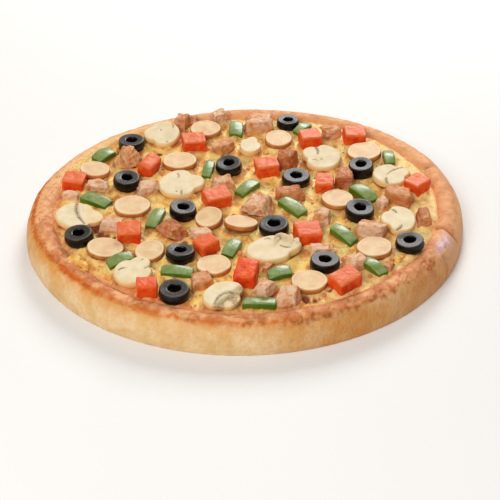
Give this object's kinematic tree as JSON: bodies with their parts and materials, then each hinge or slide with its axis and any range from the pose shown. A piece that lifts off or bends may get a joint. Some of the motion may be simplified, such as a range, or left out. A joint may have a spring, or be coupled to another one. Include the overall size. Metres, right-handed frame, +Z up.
{
  "type": "pan pizza",
  "caption": "Whole uncut pan pizza with a thick golden rim, melted cheese and olive, mushroom, sausage, tomato, pepper and chicken toppings.",
  "frame": {"origin": "middle of the flat underside, where the pizza rests", "axes": "+Z up through the toppings; the picture looks along +Y, so -Y is the front and +X the right"},
  "size_m": [0.2668, 0.2535, 0.0291],
  "materials": {
    "crust": "baked dough, golden brown crown and cream wall",
    "cheese": "melted cheese with browned spots, with green pepper and roasted chicken baked in",
    "olive": "wet black skin, dull grey cut face",
    "mushroom": "baked cream flesh with brown gill strokes",
    "sausage": "beige cut face, browned edge",
    "tomato": "wet red flesh"
  },
  "bodies": {
    "root": {"crust": "crust", "cheese": "cheese", "olive_01": "olive", "olive_02": "olive", "olive_03": "olive", "olive_04": "olive", "olive_05": "olive", "olive_06": "olive", "olive_07": "olive", "olive_08": "olive", "olive_09": "olive", "olive_10": "olive", "olive_11": "olive", "olive_12": "olive", "olive_13": "olive", "olive_14": "olive", "mushroom_01": "mushroom", "mushroom_02": "mushroom", "mushroom_03": "mushroom", "mushroom_04": "mushroom", "mushroom_05": "mushroom", "mushroom_06": "mushroom", "mushroom_07": "mushroom", "mushroom_08": "mushroom", "mushroom_09": "mushroom", "mushroom_10": "mushroom", "sausage_01": "sausage", "sausage_02": "sausage", "sausage_03": "sausage", "sausage_04": "sausage", "sausage_05": "sausage", "sausage_06": "sausage", "sausage_07": "sausage", "sausage_08": "sausage", "sausage_09": "sausage", "sausage_10": "sausage", "sausage_11": "sausage", "sausage_12": "sausage", "sausage_13": "sausage", "sausage_14": "sausage", "tomato_01": "tomato", "tomato_02": "tomato", "tomato_03": "tomato", "tomato_04": "tomato", "tomato_05": "tomato", "tomato_06": "tomato", "tomato_07": "tomato", "tomato_08": "tomato", "tomato_09": "tomato", "tomato_10": "tomato", "tomato_11": "tomato", "tomato_12": "tomato", "tomato_13": "tomato", "tomato_14": "tomato", "tomato_15": "tomato"}
  },
  "joints": []
}
